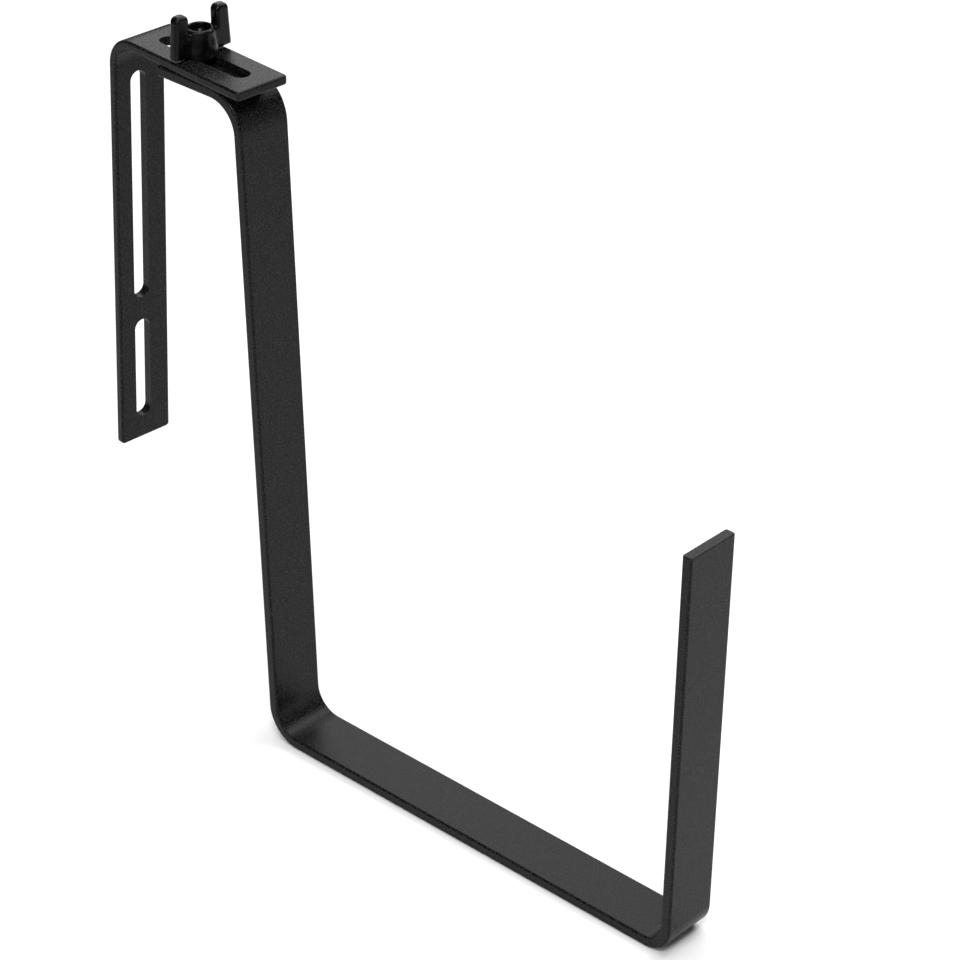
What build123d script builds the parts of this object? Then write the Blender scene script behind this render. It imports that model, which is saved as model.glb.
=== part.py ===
"""Adjustable balcony-box bracket: rail hook, box arm, carriage bolt and wing nut.

Millimetres, +Z up. The origin is on the underside of the arm's bottom run, midway between its two bends.
+X points from the rail towards the front lip, and the strips are centred on Y = 0.
"""
from build123d import *
from math import cos, radians, sin
import os

# ---- flat steel strips ----
strip_width = 25.8

# ---- box arm, along its centre line ----
arm_thickness = 4.7
arm_edge = 1.0              # rounding of the long edges
arm_end_edge = 0.4          # rounding of the cut ends
seat_length = 218.9         # bottom run, corner to corner
arm_height = 295.8          # floor to the centre line of the top run
leg_lean = 11.7             # how far the leg's foot stands in front of its head
top_run = 44.4
lip_height = 187.6          # floor to the lip's end
lip_lean = 3.1
arm_bends = (15.5, 14.0, 10.5)  # at the top, the leg's foot and the lip

# ---- rail hook, along its centre line ----
hook_thickness = 4.0
hook_edge = 1.0             # rounding of every outer edge
hook_corner = 1.6           # plan radius of the ends' corners
hook_bend = 12.2
hook_front_overhang = 5.2   # past the arm's top corner
rail_span = 73.5            # hook's rear corner to the arm's top corner
hook_leg_end = 107.8        # height of the leg's lower end
hook_leg_lean = 8.9         # how far the leg's end stands behind its head
hook_turn = -3.7            # degrees, how the hook sits on the screw

# ---- slots in the hook ----
slot_width = 7.9
top_slot_length = 52.3
top_slot_gap = 9.5          # top slot's front end to the hook's front end
leg_slot_offset = -1.1      # the leg's slots stand off the centre line
long_slot_length = 105.9
long_slot_middle = 230.0    # height
short_slot_length = 47.9
short_slot_middle = 142.3

# ---- M6 carriage bolt ----
screw_radius = 3.0
screw_length = 16.0         # under the head
screw_chamfer = 0.5
screw_setback = 33.6        # behind the arm's top corner
screw_offset = 0.8          # off the arm's centre line
head_radius = 8.0
head_height = 3.6
head_rim = 0.8
neck_side = 6.0
neck_height = 3.6
square_hole = 6.4

# ---- wing nut ----
nut_bore = 3.05
nut_height = 11.8
nut_base_radius = 7.4
nut_base_rim = 0.7
nut_waist_radius = 6.9
nut_waist_height = 4.5
nut_rim_radius = 6.2
nut_lip = 1.3               # rounding of the rim
cup_radius = 4.6
cup_floor_radius = 4.0
cup_wall = 2.6              # depth of the cup's steep wall
cup_depth = 3.8
wing_turn = -4.5            # degrees from the Y axis
wing_thickness = 5.2
wing_foot = 0.4             # the webs' underside, at the barrel
wing_bottom = 1.0           # the wings' underside, at their outer side
wing_top = 19.1
wing_inner = 6.8            # inner side, measured from the axis
wing_outer_top = 13.2
wing_outer_bottom = 14.4
wing_rounding = 2.4         # of the wings' tops, seen from the side
wing_edge = 1.7             # rounding of the wings' long edges
wing_root = 4.2             # where the webs start, inside the barrel

# ---- places that follow ----
arm_corner = -seat_length / 2 - leg_lean
arm_centre = arm_thickness / 2
arm_top = arm_height + arm_centre
arm_underside = arm_height - arm_centre
hook_centre = arm_top + hook_thickness / 2
hook_top = arm_top + hook_thickness
screw_x = arm_corner - screw_setback


def side_plane(x, turn):
    """Upright plane along a strip's length: its X is the strip's forward direction, its Y is up."""
    forward = (cos(radians(turn)), sin(radians(turn)), 0)
    leftward = (-sin(radians(turn)), cos(radians(turn)), 0)
    return Plane(origin=(x, 0, 0), x_dir=forward, z_dir=-Vector(leftward))


def section_plane(path, side):
    """Plane square to the start of a path that lies on a side plane."""
    return Plane(origin=path @ 0, x_dir=-side.z_dir, z_dir=path % 0)


os.makedirs("parts", exist_ok=True)

# ---- box arm: top run, long leg, bottom run and front lip ----
arm_side = side_plane(0, 0)
with BuildPart() as box_arm:
    with BuildLine(arm_side) as arm_path:
        FilletPolyline(
            (arm_corner - top_run, arm_height),
            (arm_corner, arm_height),
            (-seat_length / 2, arm_centre),
            (seat_length / 2, arm_centre),
            (seat_length / 2 + lip_lean, lip_height),
            radius=arm_bends,
        )
    with BuildSketch(section_plane(arm_path.line, arm_side)):
        RectangleRounded(strip_width, arm_thickness, arm_edge)
    sweep(path=arm_path.line)
    arm_ends = box_arm.faces().filter_by(GeomType.PLANE).filter_by(
        lambda face: face.area < 1.1 * strip_width * arm_thickness
        and face.area > 0.9 * strip_width * arm_thickness
    )
    fillet(arm_ends.edges(), arm_end_edge)
    with BuildSketch(Plane.XY.offset(arm_underside - 1)):
        with Locations((screw_x, screw_offset)):
            Rectangle(square_hole, square_hole)
    extrude(amount=arm_thickness + 2, mode=Mode.SUBTRACT)
box_arm.part.label = "box_arm"

# ---- rail hook: slotted top run and slotted hanging leg ----
hook_side = side_plane(screw_x, hook_turn)
hook_rear = arm_corner - rail_span - screw_x
hook_front = arm_corner + hook_front_overhang - screw_x
leg_head = Vector(hook_rear, hook_centre)
leg_foot = Vector(hook_rear - hook_leg_lean, hook_leg_end)
leg_up = (leg_head - leg_foot).normalized()


def leg_plane(height, offset):
    """Plane in the leg at a height, off its centre line: X up the leg, Z out of its rear face."""
    reach = (height - leg_foot.Y) / leg_up.Y
    middle = leg_foot + leg_up * reach
    return Plane(
        origin=hook_side.from_local_coords(middle) - hook_side.z_dir * offset,
        x_dir=hook_side.x_dir * leg_up.X + hook_side.y_dir * leg_up.Y,
        z_dir=hook_side.x_dir * leg_up.Y - hook_side.y_dir * leg_up.X,
    )


with BuildPart() as rail_hook:
    with BuildLine(hook_side) as hook_path:
        FilletPolyline(
            (leg_foot.X, leg_foot.Y),
            (leg_head.X, leg_head.Y),
            (hook_front, hook_centre),
            radius=hook_bend,
        )
    with BuildSketch(section_plane(hook_path.line, hook_side)):
        Rectangle(strip_width, hook_thickness)
    sweep(path=hook_path.line)
    hook_ends = rail_hook.faces().filter_by(GeomType.PLANE).filter_by(
        lambda face: abs(face.area - strip_width * hook_thickness) < 0.1
    )
    fillet(hook_ends.edges().filter_by(lambda edge: edge.length < 1.01 * hook_thickness), hook_corner)
    hook_rims = rail_hook.edges().filter_by(
        lambda edge: abs(edge.length - strip_width) > 0.01 and abs(edge.length - hook_thickness) > 0.01
    )
    fillet(hook_rims, hook_edge)
    for height, length in ((long_slot_middle, long_slot_length), (short_slot_middle, short_slot_length)):
        with BuildSketch(leg_plane(height, leg_slot_offset)):
            SlotOverall(length, slot_width)
        extrude(amount=hook_thickness, both=True, mode=Mode.SUBTRACT)
    hook_plan = Plane(origin=(screw_x, 0, hook_centre), x_dir=hook_side.x_dir, z_dir=(0, 0, 1))
    with BuildSketch(hook_plan):
        with Locations((hook_front - top_slot_gap - top_slot_length / 2, 0)):
            SlotOverall(top_slot_length, slot_width)
    extrude(amount=hook_thickness, both=True, mode=Mode.SUBTRACT)
rail_hook.part.label = "rail_hook"

# ---- carriage bolt: domed head under the arm, square neck, plain shank ----
screw_seat = Plane(origin=(screw_x, screw_offset, arm_underside))
dome_height = head_height - head_rim
dome_radius = (head_radius**2 + dome_height**2) / (2 * dome_height)
with BuildPart() as carriage_bolt:
    with BuildSketch(screw_seat):
        Circle(head_radius)
    extrude(amount=-head_rim)
    with BuildSketch(Plane(origin=screw_seat.origin, x_dir=(1, 0, 0), z_dir=(0, -1, 0))):
        with BuildLine():
            Line((0, -head_rim), (head_radius, -head_rim))
            RadiusArc((head_radius, -head_rim), (0, -head_height), dome_radius)
            Line((0, -head_height), (0, -head_rim))
        make_face()
    revolve(axis=Axis(screw_seat.origin, (0, 0, 1)))
    with BuildSketch(screw_seat):
        Rectangle(neck_side, neck_side)
    extrude(amount=neck_height)
    with BuildSketch(screw_seat):
        Circle(screw_radius)
    extrude(amount=screw_length)
    screw_end = carriage_bolt.faces().sort_by(Axis.Z)[-1]
    chamfer(screw_end.edges(), screw_chamfer)
carriage_bolt.part.label = "carriage_bolt"

# ---- wing nut: flared barrel with a cupped mouth, two upright wings on webs ----
nut_seat = Plane(origin=(screw_x, screw_offset, hook_top), x_dir=(1, 0, 0), z_dir=(0, 0, 1))
nut_section = Plane(origin=nut_seat.origin, x_dir=(1, 0, 0), z_dir=(0, -1, 0))
nut_axis = Axis(nut_seat.origin, (0, 0, 1))
wing_side = Plane(
    origin=nut_seat.origin,
    x_dir=(-sin(radians(wing_turn)), cos(radians(wing_turn)), 0),
    z_dir=(cos(radians(wing_turn)), sin(radians(wing_turn)), 0),
)
with BuildPart() as wing_nut:
    for side in (1, -1):
        with BuildSketch(wing_side):
            with BuildLine():
                Polyline(
                    (side * wing_root, wing_foot),
                    (side * wing_outer_bottom, wing_bottom),
                    (side * wing_outer_top, wing_top),
                    (side * wing_inner, wing_top),
                    (side * wing_inner, nut_height - nut_lip),
                    (side * wing_root, nut_height - nut_lip),
                    close=True,
                )
            make_face()
        extrude(amount=wing_thickness / 2, both=True)
    wing_crests = wing_nut.edges().filter_by(Axis((0, 0, 0), wing_side.z_dir)).group_by(Axis.Z)[-1]
    fillet(wing_crests, wing_rounding)
    wing_faces = wing_nut.faces().filter_by(Axis((0, 0, 0), wing_side.z_dir))
    fillet(wing_faces.edges(), wing_edge)
    with BuildSketch(nut_section):
        with BuildLine():
            Polyline(
                (0, 0),
                (nut_base_radius, 0),
                (nut_base_radius, nut_base_rim),
            )
            Spline(
                (nut_base_radius, nut_base_rim),
                (nut_waist_radius, nut_waist_height),
                (nut_rim_radius, nut_height - nut_lip),
                tangents=((-1, 2.5), (0, 1)),
            )
            RadiusArc(
                (nut_rim_radius, nut_height - nut_lip),
                (nut_rim_radius - nut_lip, nut_height),
                -nut_lip,
            )
            Polyline(
                (nut_rim_radius - nut_lip, nut_height),
                (0, nut_height),
                (0, 0),
            )
        make_face()
    revolve(axis=nut_axis)
    with BuildSketch(nut_section):
        with BuildLine():
            Polyline(
                (0, 0),
                (nut_bore, 0),
                (nut_bore, nut_height - cup_depth),
                (cup_floor_radius, nut_height - cup_wall),
                (cup_radius, nut_height),
                (0, nut_height),
                close=True,
            )
        make_face()
    revolve(axis=nut_axis, mode=Mode.SUBTRACT)
wing_nut.part.label = "wing_nut"

for name, piece in (
    ("box_arm", box_arm),
    ("rail_hook", rail_hook),
    ("carriage_bolt", carriage_bolt),
    ("wing_nut", wing_nut),
):
    export_step(piece.part, f"parts/{name}.step")
    box = piece.part.bounding_box()
    print(name, round(piece.part.volume, 1), box.min, box.max)
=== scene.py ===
"""Looks of the balcony-box bracket: powder-coated strips, a cast wing nut and a threaded carriage bolt.

Metres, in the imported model's own frame. +Z up, +X towards the front lip.
"""
import math

import bmesh
import bpy
from mathutils import Matrix, Vector


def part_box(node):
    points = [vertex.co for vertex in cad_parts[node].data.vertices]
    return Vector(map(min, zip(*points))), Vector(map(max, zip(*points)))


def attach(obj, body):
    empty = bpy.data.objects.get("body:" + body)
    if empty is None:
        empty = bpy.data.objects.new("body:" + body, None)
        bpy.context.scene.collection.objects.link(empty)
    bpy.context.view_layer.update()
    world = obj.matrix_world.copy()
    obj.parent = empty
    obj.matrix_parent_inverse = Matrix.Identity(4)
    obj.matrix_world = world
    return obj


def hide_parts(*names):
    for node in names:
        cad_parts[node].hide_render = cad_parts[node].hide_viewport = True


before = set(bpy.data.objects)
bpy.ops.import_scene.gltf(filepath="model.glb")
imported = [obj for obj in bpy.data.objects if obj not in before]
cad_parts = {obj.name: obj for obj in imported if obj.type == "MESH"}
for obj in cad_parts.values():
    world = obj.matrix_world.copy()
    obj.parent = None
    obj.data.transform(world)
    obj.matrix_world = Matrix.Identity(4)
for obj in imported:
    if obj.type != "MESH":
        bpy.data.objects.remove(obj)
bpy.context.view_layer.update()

MM = 0.001

# ---- camera ----
AIM = Vector((-0.0022, 0.0, 0.1680))
CAMERA_DISTANCE = 1.3443
CAMERA_AZIMUTH = 42.465     # degrees, 0 looks along +Y
CAMERA_ELEVATION = 30.935
CAMERA_ROLL = 0.409
CAMERA_LENS = 128.93        # for the default 36 mm sensor
CAMERA_REACH = 50.0         # how far the camera sees

# ---- stage ----
FLOOR_RADIUS = 1.2
FLOOR_SIDES = 96
WORLD_STRENGTH = 0.03
LIGHTS = (                  # name, place, target, size, power
    ("back", (-2.1, 2.25, 2.2), (0.0, 0.0, 0.15), 2.4, 50.0),
    ("top", (-0.3, 0.3, 3.5), (0.0, 0.0, 0.15), 2.4, 70.0),
    ("bend", (0.2, 1.3, 1.5), (-0.11, 0.0, 0.01), 0.8, 16.0),
    ("right", (0.95, 0.55, 0.30), (0.1, 0.0, 0.10), 0.6, 1.2),
    ("over_camera", (0.75, -0.80, 1.80), (0.0, 0.0, 0.15), 0.5, 19.0),
    ("front", (0.3, -1.8, 1.2), (0.0, 0.0, 0.15), 1.2, 16.0),
    ("left", (-1.7, 0.4, 0.9), (0.0, 0.0, 0.15), 1.0, 2.0),
)

# ---- nut, made from the CAD's shape ----
NUT_VOXEL = 0.25 * MM
NUT_SMOOTHING = 16          # rounds of smoothing
NUT_SMOOTHING_FACTOR = 0.5

# ---- bolt, as in the CAD ----
HEAD_RADIUS = 8.0 * MM
HEAD_HEIGHT = 3.6 * MM
HEAD_RIM = 0.8 * MM
NECK_SIDE = 6.0 * MM
NECK_HEIGHT = 3.6 * MM
NECK_CORNER = 0.4 * MM
THREAD_PITCH = 1.0 * MM
THREAD_RADIUS = 3.0 * MM
THREAD_DEPTH = 0.6 * MM
THREAD_SLOPE = 1.15         # steep enough for the flanks to end in a flat root
THREAD_CREST = 0.05         # how much of the flanks the flat crest takes

# ---- bolt's mesh ----
HEAD_SIDES = 64
HEAD_BREAK = 0.1 * MM       # the broken edge round the head's flat side
DOME_RINGS = 12
CORNER_STEPS = 2            # on each side of a neck corner's middle
SHANK_SIDES = 48
RINGS_PER_TURN = 12
SHARP_ANGLE = 35.0          # degrees; steeper edges stay sharp

# ---- finishes: noise in cells per metre, greys as (noise value, grey), relief in metres ----
NOISE_MIDDLE = (0.35, 0.65)
NOISE_WIDE = (0.3, 0.7)
COAT_GRAIN = 1500.0
COAT_SPECKLE = 1700.0
COAT_GREYS = ((0.38, 0.0), (0.50, 0.004), (0.66, 0.026))
COAT_ROUGHNESS = (0.20, 0.40)
COAT_SPECULAR = 0.12
COAT_GRAIN_RELIEF = 0.00008
COAT_SPECKLE_RELIEF = 0.00010
COAT_RELIEF_STRENGTH = 0.9
GLOSS_RIPPLE = 420.0
GLOSS_SKIN = 1500.0
GLOSS_CLOUD = 160.0
GLOSS_GREYS = ((0.3, 0.001), (0.7, 0.004))
GLOSS_ROUGHNESS = (0.18, 0.34)
GLOSS_SPECULAR = 0.15
GLOSS_RIPPLE_RELIEF = 0.00010
GLOSS_SKIN_RELIEF = 0.00003
GLOSS_RELIEF_STRENGTH = 0.5
STEEL_CLOUD = 400.0
STEEL_GREYS = ((0.3, 0.020), (0.7, 0.055))
STEEL_ROUGHNESS = (0.30, 0.45)
STEEL_METALLIC = 0.7
FLOOR_GREY = 0.82
FLOOR_ROUGHNESS = 0.9
COOLNESS = 1.02             # blue over red and green in the greys


# ---------------------------------------------------------------- helpers
def new_material(name):
    """An empty node material with its output node and a principled shader."""
    material = bpy.data.materials.new(name)
    material.use_nodes = True
    nodes = material.node_tree.nodes
    nodes.clear()
    output = nodes.new("ShaderNodeOutputMaterial")
    shader = nodes.new("ShaderNodeBsdfPrincipled")
    material.node_tree.links.new(shader.outputs["BSDF"], output.inputs["Surface"])
    return material, shader


def add_noise(material, scale, detail=2.0, roughness=0.5):
    """Noise in object space; scale in cells per metre."""
    tree = material.node_tree
    place = tree.nodes.new("ShaderNodeTexCoord")
    noise = tree.nodes.new("ShaderNodeTexNoise")
    noise.inputs["Scale"].default_value = scale
    noise.inputs["Detail"].default_value = detail
    noise.inputs["Roughness"].default_value = roughness
    tree.links.new(place.outputs["Object"], noise.inputs["Vector"])
    return noise.outputs["Fac"]


def remap(material, value, old_range, new_range):
    """A value taken from its old range to a new one."""
    tree = material.node_tree
    node = tree.nodes.new("ShaderNodeMapRange")
    node.inputs["From Min"].default_value, node.inputs["From Max"].default_value = old_range
    node.inputs["To Min"].default_value, node.inputs["To Max"].default_value = new_range
    tree.links.new(value, node.inputs["Value"])
    return node.outputs["Result"]


def grey_ramp(material, value, stops):
    """A slightly cool grey for each value; stops are (value, grey)."""
    tree = material.node_tree
    node = tree.nodes.new("ShaderNodeValToRGB")
    ramp = node.color_ramp
    while len(ramp.elements) < len(stops):
        ramp.elements.new(0.5)
    for element, (position, grey) in zip(ramp.elements, stops):
        element.position = position
        element.color = (grey, grey, grey * COOLNESS, 1.0)
    tree.links.new(value, node.inputs["Fac"])
    return node.outputs["Color"]


def bump(material, height, distance, strength, before=None):
    """A bump node; distance in metres."""
    tree = material.node_tree
    node = tree.nodes.new("ShaderNodeBump")
    node.inputs["Strength"].default_value = strength
    node.inputs["Distance"].default_value = distance
    tree.links.new(height, node.inputs["Height"])
    if before is not None:
        tree.links.new(before, node.inputs["Normal"])
    return node.outputs["Normal"]


# ---------------------------------------------------------------- materials
def powder_coat():
    """Satin black powder coat with a fine sandy grain."""
    material, shader = new_material("powder_coat_black")
    tree = material.node_tree
    grain = add_noise(material, COAT_GRAIN, roughness=0.6)
    speckle = add_noise(material, COAT_SPECKLE, detail=3.0, roughness=0.6)
    tree.links.new(grey_ramp(material, speckle, COAT_GREYS), shader.inputs["Base Color"])
    roughness = remap(material, speckle, NOISE_MIDDLE, COAT_ROUGHNESS)
    tree.links.new(roughness, shader.inputs["Roughness"])
    shader.inputs["Specular IOR Level"].default_value = COAT_SPECULAR
    coarse = bump(material, speckle, COAT_SPECKLE_RELIEF, COAT_RELIEF_STRENGTH)
    fine = bump(material, grain, COAT_GRAIN_RELIEF, COAT_RELIEF_STRENGTH, coarse)
    tree.links.new(fine, shader.inputs["Normal"])
    return material


def gloss_black():
    """Glossy black paint over the grainy skin of a casting."""
    material, shader = new_material("gloss_black_casting")
    tree = material.node_tree
    ripple = add_noise(material, GLOSS_RIPPLE)
    skin = add_noise(material, GLOSS_SKIN)
    cloud = add_noise(material, GLOSS_CLOUD)
    tree.links.new(grey_ramp(material, cloud, GLOSS_GREYS), shader.inputs["Base Color"])
    roughness = remap(material, cloud, NOISE_MIDDLE, GLOSS_ROUGHNESS)
    tree.links.new(roughness, shader.inputs["Roughness"])
    shader.inputs["Specular IOR Level"].default_value = GLOSS_SPECULAR
    waves = bump(material, ripple, GLOSS_RIPPLE_RELIEF, GLOSS_RELIEF_STRENGTH)
    fine = bump(material, skin, GLOSS_SKIN_RELIEF, GLOSS_RELIEF_STRENGTH, waves)
    tree.links.new(fine, shader.inputs["Normal"])
    return material


def black_steel():
    """Blackened steel of the bolt."""
    material, shader = new_material("blackened_steel")
    tree = material.node_tree
    cloud = add_noise(material, STEEL_CLOUD, detail=4.0)
    tree.links.new(grey_ramp(material, cloud, STEEL_GREYS), shader.inputs["Base Color"])
    roughness = remap(material, cloud, NOISE_WIDE, STEEL_ROUGHNESS)
    tree.links.new(roughness, shader.inputs["Roughness"])
    shader.inputs["Metallic"].default_value = STEEL_METALLIC
    return material


def floor_white():
    """Plain white floor."""
    material, shader = new_material("studio_white")
    shader.inputs["Base Color"].default_value = (FLOOR_GREY, FLOOR_GREY, FLOOR_GREY, 1.0)
    shader.inputs["Roughness"].default_value = FLOOR_ROUGHNESS
    shader.inputs["Specular IOR Level"].default_value = 0.0
    return material


# ---------------------------------------------------------------- the object
def add_piece(name, mesh, finish, node, body):
    """A new piece with its finish, standing for a CAD node and riding on its body."""
    mesh.materials.clear()
    mesh.materials.append(finish)
    mesh.shade_smooth()
    piece = bpy.data.objects.new(name, mesh)
    bpy.context.scene.collection.objects.link(piece)
    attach(piece, body)
    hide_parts(node)
    return piece


def cast_mesh(node, name):
    """A node's shape as a casting: every edge and inner corner softened."""
    source = bpy.data.objects.new("source", node.data.copy())
    bpy.context.scene.collection.objects.link(source)
    remesh = source.modifiers.new("remesh", "REMESH")
    remesh.mode = "VOXEL"
    remesh.voxel_size = NUT_VOXEL
    smooth = source.modifiers.new("smooth", "SMOOTH")
    smooth.factor = NUT_SMOOTHING_FACTOR
    smooth.iterations = NUT_SMOOTHING
    bpy.context.view_layer.update()
    shaped = source.evaluated_get(bpy.context.evaluated_depsgraph_get())
    mesh = bpy.data.meshes.new_from_object(shaped)
    mesh.name = name
    bpy.data.objects.remove(source)
    return mesh


def add_rings(shape, rings):
    """A skin over rings of points, each with as many points as the others, closed at both ends."""
    rows = [[shape.verts.new(point) for point in ring] for ring in rings]
    count = len(rows[0])
    for lower, upper in zip(rows, rows[1:]):
        for i in range(count):
            j = (i + 1) % count
            shape.faces.new((lower[i], lower[j], upper[j], upper[i]))
    shape.faces.new(list(reversed(rows[0])))
    shape.faces.new(rows[-1])


def ring(centre, radius, height, count):
    """A level circle of points."""
    turns = [2.0 * math.pi * i / count for i in range(count)]
    return [(centre.x + radius * math.cos(a), centre.y + radius * math.sin(a), height) for a in turns]


def thread_radius(height, angle, top):
    """The radius of a right-hand thread at a height and an angle, tapering to its root at the top."""
    turn = height / THREAD_PITCH - angle / (2.0 * math.pi)
    below_crest = 1.0 - abs(2.0 * (turn - math.floor(turn)) - 1.0)
    sunk = min(1.0, max(0.0, THREAD_SLOPE * below_crest - THREAD_CREST))
    radius = THREAD_RADIUS - THREAD_DEPTH * sunk
    return min(radius, THREAD_RADIUS - THREAD_DEPTH + (top - height))


def head_rings(centre, low, seat):
    """The domed head, from its crown at the bottom up to its flat side at the seat."""
    rim = seat - HEAD_RIM
    dome = (HEAD_RADIUS ** 2 + (rim - low) ** 2) / (2.0 * (rim - low))
    rings = []
    for step in range(1, DOME_RINGS + 1):
        radius = HEAD_RADIUS * step / DOME_RINGS
        height = low + dome - math.sqrt(dome ** 2 - radius ** 2)
        rings.append(ring(centre, radius, height, HEAD_SIDES))
    rings.append(ring(centre, HEAD_RADIUS, seat - HEAD_BREAK, HEAD_SIDES))
    rings.append(ring(centre, HEAD_RADIUS - HEAD_BREAK, seat, HEAD_SIDES))
    return rings


def neck_rings(centre, low, top):
    """The square neck with its rounded corners."""
    inset = NECK_SIDE / 2.0 - NECK_CORNER
    outline = []
    for x, y in ((1, 1), (-1, 1), (-1, -1), (1, -1)):
        middle = math.atan2(y, x)
        for step in range(-CORNER_STEPS, CORNER_STEPS + 1):
            a = middle + step * math.pi / 4.0 / CORNER_STEPS
            outline.append((
                centre.x + x * inset + NECK_CORNER * math.cos(a),
                centre.y + y * inset + NECK_CORNER * math.sin(a),
            ))
    return [[(x, y, z) for x, y in outline] for z in (low, top)]


def shank_rings(centre, low, top):
    """The shank with its helical thread."""
    rows = int((top - low) / THREAD_PITCH * RINGS_PER_TURN)
    rings = []
    for row in range(rows + 1):
        z = low + (top - low) * row / rows
        turned = []
        for i in range(SHANK_SIDES):
            a = 2.0 * math.pi * i / SHANK_SIDES
            r = thread_radius(z, a, top)
            turned.append((centre.x + r * math.cos(a), centre.y + r * math.sin(a), z))
        rings.append(turned)
    return rings


def bolt_mesh(low, high):
    """Head, neck and shank of the bolt, between the corners of its CAD box."""
    centre = Vector(((low.x + high.x) / 2.0, (low.y + high.y) / 2.0, 0.0))
    seat = low.z + HEAD_HEIGHT
    neck_top = seat + NECK_HEIGHT
    shape = bmesh.new()
    add_rings(shape, head_rings(centre, low.z, seat))
    add_rings(shape, neck_rings(centre, seat, neck_top))
    add_rings(shape, shank_rings(centre, neck_top, high.z))
    mesh = bpy.data.meshes.new("bolt")
    shape.to_mesh(mesh)
    shape.free()
    return mesh


COAT = powder_coat()
GLOSS = gloss_black()
STEEL = black_steel()

for node_name in ("box_arm", "rail_hook"):
    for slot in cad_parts[node_name].material_slots:
        slot.material = COAT

nut_mesh = cast_mesh(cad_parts["wing_nut"], "nut")
add_piece("cast_wing_nut", nut_mesh, GLOSS, "wing_nut", "nut")

bolt_low, bolt_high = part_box("carriage_bolt")
bolt = bolt_mesh(Vector(bolt_low), Vector(bolt_high))
add_piece("threaded_bolt", bolt, STEEL, "carriage_bolt", "screw")
bolt.set_sharp_from_angle(angle=math.radians(SHARP_ANGLE))


# ---------------------------------------------------------------- stage
def make_floor():
    """A round floor at the height that the bracket stands on."""
    mesh = bpy.data.meshes.new("floor")
    rim = ring(Vector((0.0, 0.0, 0.0)), FLOOR_RADIUS, 0.0, FLOOR_SIDES)
    mesh.from_pydata(rim, [], [tuple(range(FLOOR_SIDES))])
    floor = bpy.data.objects.new("floor", mesh)
    bpy.context.scene.collection.objects.link(floor)
    mesh.materials.append(floor_white())


def make_light(name, place, target, size, power):
    """A square soft light."""
    data = bpy.data.lights.new(name, "AREA")
    data.shape = "SQUARE"
    data.size = size
    data.energy = power
    light = bpy.data.objects.new(name, data)
    bpy.context.scene.collection.objects.link(light)
    light.location = place
    light.rotation_euler = (Vector(target) - Vector(place)).to_track_quat("-Z", "Y").to_euler()


def make_world(strength):
    """Faint light from all round, and a white backdrop behind the object in every view."""
    world = bpy.data.worlds.new("studio")
    world.use_nodes = True
    nodes = world.node_tree.nodes
    links = world.node_tree.links
    white = (1.0, 1.0, 1.0, 1.0)
    ambient = nodes["Background"]
    ambient.inputs["Color"].default_value = white
    ambient.inputs["Strength"].default_value = strength
    backdrop = nodes.new("ShaderNodeBackground")
    backdrop.inputs["Color"].default_value = white
    rays = nodes.new("ShaderNodeLightPath")
    seen = nodes.new("ShaderNodeMixShader")
    links.new(rays.outputs["Is Camera Ray"], seen.inputs[0])
    links.new(ambient.outputs["Background"], seen.inputs[1])
    links.new(backdrop.outputs["Background"], seen.inputs[2])
    links.new(seen.outputs["Shader"], nodes["World Output"].inputs["Surface"])
    bpy.context.scene.world = world


def make_camera():
    """The camera looks at AIM from a distance, at an azimuth and an elevation, with a little roll."""
    azimuth, elevation, roll = (math.radians(a) for a in (CAMERA_AZIMUTH, CAMERA_ELEVATION, CAMERA_ROLL))
    level = math.cos(elevation)
    forward = Vector((-math.sin(azimuth) * level, math.cos(azimuth) * level, -math.sin(elevation)))
    right = Vector((math.cos(azimuth), math.sin(azimuth), 0.0))
    up = right.cross(forward)
    turned_right = right * math.cos(roll) + up * math.sin(roll)
    turned_up = up * math.cos(roll) - right * math.sin(roll)
    place = AIM - forward * CAMERA_DISTANCE
    matrix = Matrix((turned_right, turned_up, -forward)).transposed().to_4x4()
    matrix.translation = place
    data = bpy.data.cameras.new("camera")
    data.lens = CAMERA_LENS
    data.clip_end = CAMERA_REACH
    camera = bpy.data.objects.new("camera", data)
    camera.matrix_world = matrix
    bpy.context.scene.collection.objects.link(camera)
    bpy.context.scene.camera = camera


make_floor()
make_world(WORLD_STRENGTH)
for light in LIGHTS:
    make_light(*light)
make_camera()
bpy.context.scene.view_settings.view_transform = "Standard"
